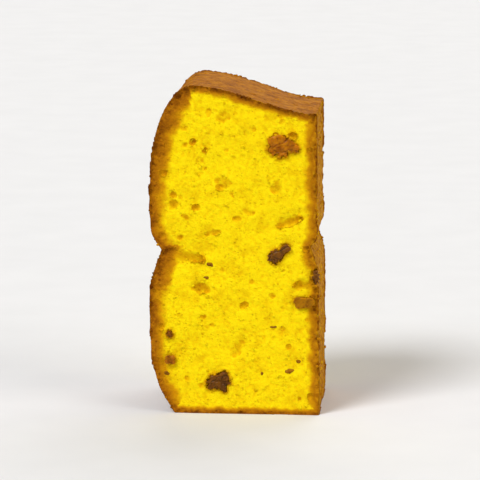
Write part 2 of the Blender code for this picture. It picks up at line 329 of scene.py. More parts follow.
SPECKS = (
    Speck(FRONT, -6.3, 39.1, 2.3, 1.2, 5),
    Speck(FRONT, -7.4, 35.6, 2.0, 1.1, 0),
    Speck(FRONT, 14.2, 11.4, 3.0, 1.6, -15),
    Speck(FRONT, 16.6, 13.9, 1.5, 1.2, 0),
    Speck(FRONT, 7.1, 10.5, 1.3, 1.2, 30),
    Speck(FRONT, 9.6, 22.9, 5.4, 0.75, -1),
    Speck(FRONT, 21.4, 20.8, 1.6, 1.3, 0),
    Speck(FRONT, -17.7, 10.2, 1.8, 1.5, 20),
    Speck(BACK, 4.5, 61.5, 1.6, 1.2, 20),
    Speck(BACK, -12.5, 34.5, 2.4, 1.0, -10),
    Speck(BACK, 11.8, 44.6, 1.5, 1.2, 40),
    Speck(BACK, 17.4, 61.0, 1.7, 1.1, 0),
    Speck(BACK, 2.6, 21.3, 4.4, 0.8, 12),
    Speck(BACK, -5.7, 74.2, 1.5, 1.3, 0),
    Speck(BACK, -16.8, 68.2, 1.6, 1.2, -30),
)


def select_only(piece):
    bpy.ops.object.select_all(action="DESELECT")
    piece.select_set(True)
    bpy.context.view_layer.objects.active = piece


def apply_new(piece, kind, **settings):
    """Adds a modifier, sets it and applies it."""
    modifier = piece.modifiers.new(kind.title(), kind)
    for setting, value in settings.items():
        setattr(modifier, setting, value)
    select_only(piece)
    bpy.ops.object.modifier_apply(modifier=modifier.name)


def work_on_copy(node, name):
    """A merged copy of a solid, as a new piece."""
    piece = bpy.data.objects.new(name, frame["nodes"][node].data.copy())
    bpy.context.scene.collection.objects.link(piece)
    piece.data.materials.clear()
    select_only(piece)
    bpy.ops.mesh.customdata_custom_splitnormals_clear()
    bpy.ops.object.mode_set(mode="EDIT")
    bpy.ops.mesh.select_all(action="SELECT")
    bpy.ops.mesh.remove_doubles(threshold=1e-6)
    bpy.ops.object.mode_set(mode="OBJECT")
    return piece


def surface_of(pieces):
    """The surfaces of several pieces together, to find what lies near them."""
    points, faces = [], []
    for piece in pieces:
        faces += [tuple(i + len(points) for i in face.vertices) for face in piece.data.polygons]
        points += corners_of(piece.data).tolist()
    return BVHTree.FromPolygons(points, faces)


def close_pockets(sponge, fruit):
    """Takes the plain pockets out of the crumb, so that the wrinkled fruit can press its own."""
    tree = surface_of(fruit)
    near = [tree.find_nearest(vert.co, POCKET_REACH)[0] is not None for vert in sponge.data.vertices]
    select_only(sponge)
    bpy.ops.object.mode_set(mode="EDIT")
    bpy.ops.mesh.select_all(action="DESELECT")
    bpy.ops.mesh.select_mode(type="FACE")
    bpy.ops.object.mode_set(mode="OBJECT")
    for face in sponge.data.polygons:
        face.select = all(near[i] for i in face.vertices)
    bpy.ops.object.mode_set(mode="EDIT")
    bpy.ops.mesh.delete(type="FACE")
    bpy.ops.mesh.select_mode(type="EDGE")
    bpy.ops.mesh.select_all(action="SELECT")
    bpy.ops.mesh.fill_holes(sides=0)
    bpy.ops.mesh.quads_convert_to_tris()
    bpy.ops.mesh.select_mode(type="VERT")
    bpy.ops.object.mode_set(mode="OBJECT")


def crease_corners(piece, sharper_than):
    """Keeps the corners crisp when the piece is subdivided."""
    select_only(piece)
    bpy.ops.object.mode_set(mode="EDIT")
    bpy.ops.mesh.select_mode(type="EDGE")
    bpy.ops.mesh.select_all(action="DESELECT")
    bpy.ops.mesh.edges_select_sharp(sharpness=sharper_than)
    bpy.ops.transform.edge_crease(value=1.0)
    bpy.ops.mesh.select_mode(type="VERT")
    bpy.ops.object.mode_set(mode="OBJECT")


def corners_of(mesh):
    points = np.empty(len(mesh.vertices) * 3, np.float32)
    mesh.vertices.foreach_get("co", points)
    return points.reshape(-1, 3).astype(float)


def normals_of(mesh):
    normals = np.empty(len(mesh.vertices) * 3, np.float32)
    mesh.vertices.foreach_get("normal", normals)
    return normals.reshape(-1, 3).astype(float)


def set_corners(mesh, points):
    mesh.vertices.foreach_set("co", points.astype(np.float32).reshape(-1))
    mesh.update()


def take_form(piece):
    """The corners and triangles of a piece that is only a pattern for copies. The piece goes."""
    mesh = piece.data
    mesh.calc_loop_triangles()
    triangles = np.empty(len(mesh.loop_triangles) * 3, np.int32)
    mesh.loop_triangles.foreach_get("vertices", triangles)
    form = corners_of(mesh), triangles.reshape(-1, 3)
    bpy.data.objects.remove(piece)
    return form


def join_copies(name, form, turns, places):
    """One piece of many copies of a form, each with its own turn and size, and its own place."""
    corners, triangles = form
    points = np.einsum("nij,vj->nvi", turns, corners) + places[:, None, :]
    starts = np.arange(len(places)) * len(corners)
    index = (triangles[None] + starts[:, None, None]).reshape(-1)
    mesh = bpy.data.meshes.new(name)
    mesh.vertices.add(len(places) * len(corners))
    mesh.vertices.foreach_set("co", points.astype(np.float32).reshape(-1))
    mesh.loops.add(len(index))
    mesh.loops.foreach_set("vertex_index", index.astype(np.int32))
    mesh.polygons.add(len(index) // 3)
    mesh.polygons.foreach_set("loop_start", np.arange(0, len(index), 3, dtype=np.int32))
    mesh.update(calc_edges=True)
    piece = bpy.data.objects.new(name, mesh)
    bpy.context.scene.collection.objects.link(piece)
    return piece


def read_skin(mesh):
    """Centre, normal, area and corners of every triangle of a mesh."""
    mesh.calc_loop_triangles()
    index = np.empty(len(mesh.loop_triangles) * 3, np.int32)
    mesh.loop_triangles.foreach_get("vertices", index)
    corners = corners_of(mesh)[index].reshape(-1, 3, 3)
    cross = np.cross(corners[:, 1] - corners[:, 0], corners[:, 2] - corners[:, 0])
    length = np.linalg.norm(cross, axis=1)
    normals = cross / np.maximum(length, 1e-15)[:, None]
    return corners.mean(1), normals, length / 2, corners


def scatter(skin, chosen, count, rng):
    """Random points, even over the chosen triangles' area, with the normals there."""
    _, normals, areas, corners = skin
    index = rng.choice(np.flatnonzero(chosen), count, p=areas[chosen] / areas[chosen].sum())
    a, b = rng.random((2, count))
    over = a + b > 1
    a[over], b[over] = 1 - a[over], 1 - b[over]
    legs = corners[index]
    points = legs[:, 0] + a[:, None] * (legs[:, 1] - legs[:, 0]) + b[:, None] * (legs[:, 2] - legs[:, 0])
    return points, normals[index]


def lie_on(normals, spin, sizes):
    """Turns that lay a form flat on each normal, its length near the slice's X, at these sizes."""
    along = np.tile((1.0, 0.0, 0.0), (len(normals), 1))
    along[np.abs(normals[:, 0]) > NEAR_X] = (0.0, 1.0, 0.0)
    along -= normals * np.sum(along * normals, axis=1)[:, None]
    along /= np.linalg.norm(along, axis=1)[:, None]
    across = np.cross(normals, along)
    cos, sin = np.cos(spin)[:, None], np.sin(spin)[:, None]
    first = along * cos + across * sin
    second = across * cos - along * sin
    return np.stack([first * sizes[:, :1], second * sizes[:, 1:2], normals * sizes[:, 2:]], axis=2)


def clear_of_fruit(points, margin):
    """Which points lie clear of every piece of fruit, seen square to the cut faces."""
    clear = np.ones(len(points), bool)
    for name in frame["nodes"]:
        if name == "sponge":
            continue
        low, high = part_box(name)
        across = (points[:, 0] - (low.x + high.x) / 2) / ((high.x - low.x) / 2 + margin)
        up = (points[:, 2] - (low.z + high.z) / 2) / ((high.z - low.z) / 2 + margin)
        near = (points[:, 1] > low.y - FRUIT_NEAR) & (points[:, 1] < high.y + FRUIT_NEAR)
        clear &= ~(near & (across**2 + up**2 < 1))
    return clear


def smooth_step(low, high, value):
    """A smooth rise from 0 at low to 1 at high."""
    share = np.clip((value - low) / (high - low), 0, 1)
    return share * share * (3 - 2 * share)


def faces_where(skin, kind):
    """Which triangles of the skin belong to a cut face, or to the dome, side or base crust."""
    normals = skin[1]
    if kind in (FRONT, BACK):
        return normals[:, 1] * kind > CUT_FACING
    facing = {"dome": -normals[:, 0], "side": normals[:, 2], "base": normals[:, 0]}[kind]
    return (np.abs(normals[:, 1]) < OFF_CUT) & (facing > CRUST_FACING[kind])


def bubble():
    """The pattern for a pore: a round bubble of few faces."""
    bpy.ops.mesh.primitive_ico_sphere_add(subdivisions=2, radius=1.0)
    return take_form(bpy.context.object)


class Bubbles:
    """Bubbles for the cutter, each with its turn, size and place."""

    def __init__(self):
        self.turns, self.places = [], []

    def add(self, points, normals, sizes, spin, sunk=0.0):
        self.turns.append(lie_on(normals, spin, sizes))
        self.places.append(points - normals * np.reshape(sunk, (-1, 1)))


def radii_between(limits, crowd, count, rng):
    """Random radii between the limits, the small ones being commoner."""
    small, large = limits
    return small * (large / small) ** (rng.random(count) ** crowd)


def open_pores(bubbles, skin, face, count, rng):
    """Pores in clusters over a cut face, the wider ones with smaller ones run into them."""
    points, normals = scatter(skin, faces_where(skin, face), count, rng)
    crowd = np.array([noise.noise(Vector(point) / PORE_CLUSTERS) for point in points])
    kept = PORE_KEPT + PORE_KEPT_MORE * crowd
    keep = clear_of_fruit(points, FRUIT_CLEARANCE) & (rng.random(count) < kept)
    points, normals = points[keep], normals[keep]
    radius = radii_between(PORE_RADIUS, PORE_CROWD, len(points), rng)
    stretch = rng.uniform(*PORE_STRETCH, (len(points), 3))
    bubbles.add(points, normals, radius[:, None] * stretch, rng.normal(0, PORE_TURN, len(points)),
                radius * rng.uniform(*PORE_SUNK, len(points)))
    wide = radius > PORE_JOINED
    joined = wide.sum()
    for _ in range(JOINED_PORES):
        beside = rng.normal(0, JOINED_APART, (joined, 3)) * (1, 0, 1) * radius[wide, None]
        sizes = radius[wide, None] * rng.uniform(*JOINED_SIZE, (joined, 3))
        bubbles.add(points[wide] + beside, normals[wide], sizes, rng.uniform(0, math.pi, joined))


def prick_crust(bubbles, skin, crust, count, rng):
    """Pinholes over a crust."""
    points, normals = scatter(skin, faces_where(skin, crust), count, rng)
    keep = clear_of_fruit(points, FRUIT_CLEARANCE)
    points, normals = points[keep], normals[keep]
    radius = radii_between(PINHOLE_RADIUS, PORE_CROWD, len(points), rng)
    stretch = rng.uniform(*PINHOLE_STRETCH, (len(points), 3))
    bubbles.add(points, normals, radius[:, None] * stretch, rng.uniform(0, math.pi, len(points)),
                radius * rng.uniform(*PINHOLE_SUNK, len(points)))


def tear_pore(bubbles, pore, centres, rng):
    """A pore of the front face, with small ones torn into its rim."""
    nearest = np.argmin((centres[:, 0] - pore.x * MM) ** 2 + (centres[:, 2] - pore.z * MM) ** 2)
    place = np.array([[pore.x * MM, centres[nearest, 1], pore.z * MM]])
    size = np.array([[pore.long / 2, pore.tall / 2, pore.deep]]) * MM
    facing = np.array([[0.0, -1.0, 0.0]])
    turn = math.radians(pore.turn)
    bubbles.add(place, facing, size, np.array([turn]))
    least, more = TORN_PORES
    torn = least + int(pore.long * more)
    round_it = rng.uniform(0, 2 * math.pi, torn)
    along, up = np.cos(round_it) * size[0, 0], np.sin(round_it) * size[0, 1]
    rim = np.stack((along * math.cos(turn) - up * math.sin(turn), np.zeros(torn),
                    along * math.sin(turn) + up * math.cos(turn)), axis=1)
    sizes = rng.uniform(*TORN_SIZE, (torn, 3)) * size[0, 1]
    bubbles.add(place + rim, facing.repeat(torn, axis=0), sizes, round_it)


def blow_pores(skin, fruit, rng):
    """All the bubbles that the knife has opened and the beds of the fruit, as one cutter."""
    bubbles = Bubbles()
    for face, count in PORES.items():
        open_pores(bubbles, skin, face, count, rng)
    for crust, count in PINHOLES.items():
        prick_crust(bubbles, skin, crust, count, rng)
    centres = skin[0][faces_where(skin, FRONT)]
    for pore in FRONT_PORES:
        tear_pore(bubbles, pore, centres, rng)
    cutter = join_copies("pores", bubble(), np.concatenate(bubbles.turns), np.concatenate(bubbles.places))
    apply_new(cutter, "REMESH", mode="VOXEL", voxel_size=FINE_VOXEL)
    apply_new(cutter, "DISPLACE", texture=clouds("pore lumps", PORE_LUMPS), texture_coords="LOCAL",
              strength=PORE_UNEVEN, mid_level=0.5)
    for piece in fruit:
        bed = bpy.data.objects.new("bed", piece.data.copy())
        bpy.context.scene.collection.objects.link(bed)
        bed.select_set(True)
    bpy.context.view_layer.objects.active = cutter
    cutter.select_set(True)
    bpy.ops.object.join()
    apply_new(cutter, "REMESH", mode="VOXEL", voxel_size=FINE_VOXEL)
    return cutter


def weigh(piece, name, weights):
    """A vertex group with these weights, in even steps."""
    group = piece.vertex_groups.new(name=name)
    level = np.rint(np.clip(weights, 0, 1) * WEIGHT_STEPS).astype(int)
    for step in range(1, WEIGHT_STEPS + 1):
        members = np.flatnonzero(level == step)
        if len(members):
            group.add(members.tolist(), step / WEIGHT_STEPS, "REPLACE")


def clouds(name, size, pattern="BLENDER_ORIGINAL"):
    texture = bpy.data.textures.new(name, "CLOUDS")
    texture.noise_scale = size
    texture.noise_basis = pattern
    return texture


def sink(piece, texture, depth, group):
    """Lowers the surface by up to this depth where the texture is dark."""
    apply_new(piece, "DISPLACE", texture=texture, texture_coords="LOCAL", strength=depth, mid_level=1.0,
              vertex_group=group)


def thin_out(piece, belongs, triangles):
    """Leaves about this many triangles where a face belongs, by its centre and normal."""
    select_only(piece)
    bpy.ops.object.mode_set(mode="EDIT")
    bpy.ops.mesh.select_mode(type="FACE")
    bpy.ops.mesh.select_all(action="DESELECT")
    bpy.ops.object.mode_set(mode="OBJECT")
    chosen = [belongs(face.center, face.normal) for face in piece.data.polygons]
    piece.data.polygons.foreach_set("select", chosen)
    sides = np.empty(len(chosen), np.int32)
    piece.data.polygons.foreach_get("loop_total", sides)
    before = int((sides - 2)[np.array(chosen)].sum())
    bpy.ops.object.mode_set(mode="EDIT")
    bpy.ops.mesh.decimate(ratio=min(1.0, triangles / before))
    bpy.ops.mesh.select_mode(type="VERT")
    bpy.ops.object.mode_set(mode="OBJECT")


def mark_faces(sponge):
    """Vertex groups for the cut faces, the bottom crust and the other crusts. The foot is in none."""
    points, normals = corners_of(sponge.data), normals_of(sponge.data)
    off_foot = 1 - smooth_step(*FOOT_EDGE, -normals[:, 2]) * (points[:, 2] < FOOT_LEVEL)
    outside = smooth_step(*CUT_EDGE, np.abs(points[:, 1]))
    cut = outside * smooth_step(*CUT_FACE_EDGE, np.abs(normals[:, 1])) * off_foot
    base = smooth_step(*BASE_EDGE, normals[:, 0]) * (1 - cut) * off_foot
    weigh(sponge, "cut", cut)
    weigh(sponge, "base", base)
    weigh(sponge, "skinned", (1 - cut) * (1 - base) * off_foot)


def on_crust(centre, normal):
    return abs(normal.y) < OFF_CUT and abs(centre.y) < CRUST_THINNED_TO


def on_cut(centre, _):
    return abs(centre.y) >= CUT_THINNED_FROM


def make_sponge(solid_fruit, fruit):
    """The crumb and its crusts: pores cut, surface torn and roughened, foot left flat."""
    rng = np.random.default_rng(SPONGE_SEED)
    sponge = work_on_copy("sponge", "crumb_and_crust")
    close_pockets(sponge, solid_fruit)
    skin = read_skin(sponge.data)
    crease_corners(sponge, SHARP_CORNER)
    apply_new(sponge, "SUBSURF", levels=1, render_levels=1)
    cutter = blow_pores(skin, fruit, rng)
    apply_new(sponge, "BOOLEAN", object=cutter, operation="DIFFERENCE", solver="MANIFOLD")
    bpy.data.objects.remove(cutter)
    apply_new(sponge, "REMESH", mode="VOXEL", voxel_size=VOXEL)
    apply_new(sponge, "SMOOTH", factor=0.5, iterations=2)
    mark_faces(sponge)
    for name, size, depth, pattern, group in SPONGE_RELIEF:
        sink(sponge, clouds(name, size, pattern), depth, group)
    thin_out(sponge, on_crust, CRUST_TRIANGLES)
    thin_out(sponge, on_cut, CUT_TRIANGLES)
    share = SPONGE_TRIANGLES / len(read_skin(sponge.data)[0])
    apply_new(sponge, "DECIMATE", ratio=min(1.0, share))
    points = corners_of(sponge.data)
    points[:, 2] = np.maximum(points[:, 2], 0.0)
    set_corners(sponge.data, points)
    sponge.data.shade_smooth()
    return sponge


def crust_tree():
    """The crusts' surface away from the cut faces, to measure how deep a point lies below it."""
    _, normals, _, corners = read_skin(frame["nodes"]["sponge"].data)
    inner = (corners[:, :, 1].min(1) < CRUST_REACH) & (corners[:, :, 1].max(1) > -CRUST_REACH)
    chosen = (np.abs(normals[:, 1]) < OFF_CUT) & inner
    points = corners[chosen].reshape(-1, 3)
    triangles = np.arange(len(points)).reshape(-1, 3)
    return BVHTree.FromPolygons(points.tolist(), triangles.tolist())


def brown_and_shade(points, crusts, fruit):
    """How browned each point is, 0 in the crumb and 1 at a crust, with painted shade browning the crumb
    round the fruit, and how far its crust is the base.
    """
    browned_and_fruit_shade, based = np.zeros(len(points)), np.zeros(len(points))
    for i, point in enumerate(points):
        point = Vector(point)
        level = max(-CRUST_REACH, min(CRUST_REACH, point.y))
        _, normal, _, distance = crusts.find_nearest((point.x, level, point.z))
        dome = max(0.0, -normal.x)
        base = max(0.0, normal.x)
        shoulder = min(1.0, dome * max(0.0, normal.z) * 2)
        band = SIDE_BAND + dome * (DOME_BAND - SIDE_BAND) + base * (BASE_BAND - SIDE_BAND)
        band += shoulder * (SHOULDER_BAND - DOME_BAND)
        ragged = sum(share * noise.noise(point / size) for size, share in RAGGED_SCALES)
        ragged *= BAND_RAGGED * min(1.0, band / BASE_BAND)
        reach = min(max(distance - CRUST_THICK - ragged, 0.0) / band, 1.0)
        browned_and_fruit_shade[i] = 1 - reach ** (1 + SHOULDER_FADE * shoulder)
        based[i] = base
        # Painted shade: the crumb is browner round the fruit, where the gap between them lies in shade
        touch = fruit.find_nearest(point, FRUIT_SHADE_REACH)[3]
        if touch is not None:
            browned_and_fruit_shade[i] = max(browned_and_fruit_shade[i], FRUIT_SHADE_DEPTH * (1 - touch / FRUIT_SHADE_REACH))
    return browned_and_fruit_shade, based


def painted_pore_shade(points):
    """How much painted shade, darker and more orange, lies on the crumb round the pores and tears that
    stand out on the front.
    """
    ochre_tone_and_pore_shade = np.zeros(len(points))
    front = points[:, 1] < 0
    lengthwise, upright = PORE_SHADE_REACH
    for pore in FRONT_PORES:
        across, up = points[:, 0] / MM - pore.x, points[:, 2] / MM - pore.z
        cos, sin = math.cos(math.radians(pore.turn)), math.sin(math.radians(pore.turn))
        along, over = across * cos + up * sin, up * cos - across * sin
        out = np.hypot(along / (pore.long * lengthwise), over / (pore.tall * upright))
        ochre_tone_and_pore_shade = np.maximum(ochre_tone_and_pore_shade, pore.ochre_tone_and_pore_shade * (1 - smooth_step(*PORE_SHADE_FADE, out)) * front)
    return ochre_tone_and_pore_shade


def below_level(mesh, rounds):
    """How far each corner lies below the surface round it, in metres."""
    points, normals = corners_of(mesh), normals_of(mesh)
    edges = np.empty(len(mesh.edges) * 2, np.int32)
    mesh.edges.foreach_get("vertices", edges)
    edges = edges.reshape(-1, 2)
    count = np.bincount(edges.reshape(-1), minlength=len(points))[:, None]
    even = points.copy()
    for _ in range(rounds):
        total = np.zeros_like(even)
        for axis in range(3):
            total[:, axis] = np.bincount(edges[:, 0], even[edges[:, 1], axis], len(points))
            total[:, axis] += np.bincount(edges[:, 1], even[edges[:, 0], axis], len(points))
        even = 0.5 * even + 0.5 * total / np.maximum(count, 1)
    return np.sum((even - points) * normals, axis=1)


def hollows(mesh):
    """How hollow the surface is at each corner: 0.5 is level, 1 a pit and 0 a peak."""
    hollow = np.full(len(mesh.vertices), 0.5)
    for rounds, depth, share in HOLLOW_SCALES:
        hollow += share * (below_level(mesh, rounds) / depth)
    return np.clip(hollow, 0, 1)


def write_attribute(mesh, name, values):
    attribute = mesh.attributes.new(name, "FLOAT", "POINT")
    attribute.data.foreach_set("value", values.astype(np.float32))


def crumb_lump(rng):
    """The pattern for a crumb: an uneven lump of two dozen small faces."""
    bpy.ops.mesh.primitive_cube_add(size=2.0)
    lump = bpy.context.object
    bpy.ops.object.mode_set(mode="EDIT")
    bpy.ops.mesh.select_all(action="SELECT")
    bpy.ops.mesh.subdivide(number_cuts=1)
    bpy.ops.transform.tosphere(value=0.75)
    bpy.ops.object.mode_set(mode="OBJECT")
    points = corners_of(lump.data)
    points *= rng.uniform(*LUMP_UNEVEN, (len(points), 1))
    set_corners(lump.data, points)
    return take_form(lump)


def make_crumbs(name, sponge_skin, chosen, count, radii, rng, sunk=0.25, margin=0.0):
    """Crumbs that cling to the chosen triangles, each with its own tone, with a margin round the fruit."""
    points, normals = scatter(sponge_skin, chosen, count, rng)
    keep = points[:, 2] > CLINGING_ABOVE
    if margin is not None:  # rim crumbs may touch the fruit
        keep &= clear_of_fruit(points, margin)
    points, normals = points[keep], normals[keep]
    radius = radii_between(radii, CLINGING_CROWD, len(points), rng)
    sizes = radius[:, None] * rng.uniform(*CLINGING_STRETCH, (len(points), 3))
    turns = lie_on(normals, rng.uniform(0, 2 * math.pi, len(points)), sizes)
    form = crumb_lump(rng)
    crumbs = join_copies(name, form, turns, points - normals * (radius * sunk)[:, None])
    crumbs.data.shade_smooth()
    # Random tones for each crumb, carried in the same attributes as the sponge's pits and painted pore
    # shade
    for tone, limits in (("hollow", CRUMB_HOLLOW), ("ochre_tone_and_pore_shade", CRUMB_OCHRE)):
        write_attribute(crumbs.data, tone, np.repeat(rng.uniform(*limits, len(points)), LUMP_CORNERS))
    return crumbs


class Finish:
    """A material, made as a chain of nodes that ends in its shader."""

    def __init__(self, name):
        self.material = bpy.data.materials.new(name)
        self.material.use_nodes = True
        self.tree = self.material.node_tree
        self.shader = self.tree.nodes["Principled BSDF"]
        self.place = self.node("ShaderNodeTexCoord").outputs["Object"]

    def node(self, kind, **settings):
        made = self.tree.nodes.new(kind)
        for setting, value in settings.items():
            setattr(made, setting, value)
        return made

    def link(self, source, socket):
        self.tree.links.new(source, socket)

    def fill(self, node, values):
        for socket, value in values.items():
            if isinstance(value, bpy.types.NodeSocket):
                self.link(value, node.inputs[socket])
            else:
                node.inputs[socket].default_value = value

    def attribute(self, name):
        return self.node("ShaderNodeAttribute", attribute_name=name).outputs["Fac"]

    def noise(self, size, detail=2.0, distortion=0.0):
        made = self.node("ShaderNodeTexNoise")
        self.fill(made, {"Vector": self.place, "Scale": 1 / size, "Detail": detail,
                         "Distortion": distortion})
        return made.outputs["Fac"]

    def cells(self, size):
        made = self.node("ShaderNodeTexVoronoi")
        self.fill(made, {"Vector": self.place, "Scale": 1 / size})
        return made.outputs["Distance"]

    def ramp(self, source, stops):
        made = self.node("ShaderNodeValToRGB")
        ramp = made.color_ramp
        while len(ramp.elements) < len(stops):
            ramp.elements.new(0.5)
        for element, (position, colour) in zip(ramp.elements, stops):
            element.position = position
            element.color = (*colour, 1.0)
        self.link(source, made.inputs["Fac"])
        return made.outputs["Color"]

    def range(self, source, low, high, to_low=0.0, to_high=1.0):
        made = self.node("ShaderNodeMapRange")
        self.fill(made, {"Value": source, "From Min": low, "From Max": high,
                         "To Min": to_low, "To Max": to_high})
        return made.outputs["Result"]

    def combine(self, a, b, kind="ADD"):
        made = self.node("ShaderNodeMath", operation=kind)
        for socket, value in zip(made.inputs, (a, b)):
            if isinstance(value, bpy.types.NodeSocket):
                self.link(value, socket)
            else:
                socket.default_value = value
        return made.outputs["Value"]

    def mix(self, share, a, b, kind="MIX"):
        made = self.node("ShaderNodeMix", data_type="RGBA", blend_type=kind)
        sockets = [socket for socket in made.inputs if socket.type == "RGBA"]
        if isinstance(share, bpy.types.NodeSocket):
            self.link(share, made.inputs["Factor"])
        else:
            made.inputs["Factor"].default_value = share
        for socket, value in zip(sockets, (a, b)):
            if isinstance(value, bpy.types.NodeSocket):
                self.link(value, socket)
            else:
                socket.default_value = (*value, 1.0)
        return [socket for socket in made.outputs if socket.type == "RGBA"][0]

    def bump(self, heights):
        """Fine relief from (height, depth) pairs, one on the other."""
        normal = None
        for height, depth in heights:
            made = self.node("ShaderNodeBump")
            self.fill(made, {"Height": height, "Distance": depth, "Strength": 1.0})
            if normal is not None:
                self.link(normal, made.inputs["Normal"])
            normal = made.outputs["Normal"]
        self.link(normal, self.shader.inputs["Normal"])

    def shade(self, colour, **values):
        self.link(colour, self.shader.inputs["Base Color"])
        self.fill(self.shader, {socket.replace("_", " "): value for socket, value in values.items()})
        return self.material


# Colours of the cake, linear
# Crumb by how hollow the surface is: peaks painted lighter as painted light, pits painted darker and more
# orange as painted shade
CRUMB_LIT_PEAK = (0.97, 0.76, 0.006)
CRUMB_LEVEL = (0.93, 0.71, 0.003)
CRUMB_PIT_SHADE = (0.85, 0.54, 0.002)
CRUMB_DEEP_SHADE = (0.70, 0.36, 0.001)
CRUMB_MOTTLE = (0.88, 0.78, 0.60)
# Painted shade in the fine pits of the crumb
CRUMB_PORE_SHADE = (0.90, 0.80, 0.70)
# Painted shade round the front pores and tears on the sponge, and a random tone on the loose crumbs
OCHRE_TONE_AND_PORE_SHADE = (0.68, 0.52, 0.36)
BAKED_GOLD = (0.64, 0.31, 0.002)
BAKED_AMBER = (0.44, 0.17, 0.002)
CRUST_LIGHT = (0.46, 0.175, 0.003)
CRUST_MID = (0.36, 0.122, 0.002)
CRUST_DARK = (0.22, 0.066, 0.001)
# Dark dots on the crust, painted as the shade of tiny pits
CRUST_DOT_SHADE = (0.46, 0.36, 0.30)
# Crust painted darker in its hollows, as painted shade
CRUST_PIT_SHADE = (0.50, 0.38, 0.30)
BASE_LIGHT = (0.66, 0.33, 0.004)
BASE_MID = (0.52, 0.220, 0.003)
BASE_DARK = (0.31, 0.105, 0.001)


def baked_sponge():
    """Yellow crumb with painted shade, darker and more orange, in its pores and pits and painted light on
    its peaks, browned towards the crusts, with painted shade round the fruit.
    """
    finish = Finish("baked_sponge")
    hollow = finish.attribute("hollow")
    browned_and_fruit_shade = finish.attribute("browned_and_fruit_shade")
    # Painted light on the peaks and painted shade in the pits, darker and more orange the deeper they lie
    depths = ((0.1, CRUMB_LIT_PEAK), (0.5, CRUMB_LEVEL), (0.75, CRUMB_PIT_SHADE), (1.0, CRUMB_DEEP_SHADE))
    crumb = finish.ramp(hollow, depths)
    mottle = finish.range(finish.noise(3.4 * MM, 3, 0.3), 0.50, 0.70)
    crumb = finish.mix(mottle, crumb, CRUMB_MOTTLE, "MULTIPLY")
    # Painted shade round the front pores and tears; on the loose crumbs the same attribute is a random
    # tone
    crumb = finish.mix(finish.attribute("ochre_tone_and_pore_shade"), crumb, OCHRE_TONE_AND_PORE_SHADE, "MULTIPLY")
    # Painted shade in the fine pits, which also give the bump
    pits = finish.range(finish.cells(0.85 * MM), 0.16, 0.36, 1.0, 0.0)
    pits = finish.combine(pits, finish.range(finish.noise(2.2 * MM), 0.42, 0.62), "MULTIPLY")
    crumb = finish.mix(pits, crumb, CRUMB_PORE_SHADE, "MULTIPLY")
    fine_tone = finish.noise(0.9 * MM, 3)
    tone = finish.combine(finish.noise(3.4 * MM, 2), finish.combine(fine_tone, 0.8, "MULTIPLY"))
    tone = finish.range(tone, 0.60, 1.20)
    crust = finish.ramp(tone, ((0.15, CRUST_DARK), (0.50, CRUST_MID), (0.85, CRUST_LIGHT)))
    base_tones = ((0.36, BASE_DARK), (0.50, BASE_MID), (0.66, BASE_LIGHT))
    base = finish.ramp(finish.noise(1.5 * MM, 4, 0.4), base_tones)
    crust = finish.mix(finish.range(finish.attribute("based"), 0.5, 0.8, 0.0, 0.72), crust, base)
    # Dark dots painted as the shade of tiny pits in the crust
    dots = finish.range(finish.cells(1.9 * MM), 0.10, 0.24, 1.0, 0.0)
    dots = finish.combine(dots, finish.range(finish.noise(3.5 * MM), 0.42, 0.52), "MULTIPLY")
    crust = finish.mix(dots, crust, CRUST_DOT_SHADE, "MULTIPLY")
    # Painted shade in the crust's hollows
    crust = finish.mix(finish.range(hollow, 0.55, 1.0), crust, CRUST_PIT_SHADE, "MULTIPLY")
    # Browning towards the crusts, with painted shade round the fruit
    gold = finish.mix(finish.range(browned_and_fruit_shade, 0.05, 0.45), crumb, BAKED_GOLD)
    amber = finish.mix(finish.range(browned_and_fruit_shade, 0.40, 0.75), gold, BAKED_AMBER)
    colour = finish.mix(finish.range(browned_and_fruit_shade, 0.75, 0.97), amber, crust)
    crust_grain = finish.combine(fine_tone, browned_and_fruit_shade, "MULTIPLY")
    finish.bump(((finish.combine(1.0, pits, "SUBTRACT"), 0.14 * MM), (crust_grain, 0.35 * MM),
                 (finish.noise(0.5 * MM, 3), 0.16 * MM), (finish.cells(0.34 * MM), 0.08 * MM)))
    return finish.shade(
        colour, Roughness=finish.range(browned_and_fruit_shade, 0.4, 1.0, 0.88, 0.68), Specular_IOR_Level=0.04,
        Subsurface_Weight=0.22, Subsurface_Radius=(1.0, 0.75, 0.20), Subsurface_Scale=1.2 * MM)


def dried_fruit(look):
    """The skin of a dried fruit, with painted shade darkening its creases."""
    finish = Finish(look.name)
    blotches = finish.combine(finish.noise(2.0 * MM, 3, 0.6), 1.5, "MULTIPLY")
    # Painted shade in the creases
    creases = finish.combine(finish.attribute("hollow"), -1.1, "MULTIPLY")
    tone = finish.range(finish.combine(blotches, creases), -0.30, 0.60)
    colour = finish.ramp(tone, ((0.20, look.dark), (0.85, look.light)))
    finish.bump(((finish.noise(0.4 * MM, 3, 0.5), 0.10 * MM),))
    return finish.shade(
        colour, Roughness=look.roughness, Specular_IOR_Level=look.gloss, Subsurface_Weight=look.glow,
        Subsurface_Radius=(1.0, 0.4, 0.1), Subsurface_Scale=1.0 * MM)


def rim_notches(name, skin, rng):
    """Where the rim of a fruit is notched, in degrees, and how deep."""
    shift = rng.uniform(*NOTCH_SHIFT, skin.notches)
    angles = (np.arange(skin.notches) + shift) * 360 / skin.notches
    depths = rng.uniform(*NOTCH_DEPTH, skin.notches) * skin.notch_depth
    own = [(angle, deep * MM) for angle, deep in RIM_NOTCHES.get(name, ())]
    return own or list(zip(angles, depths))


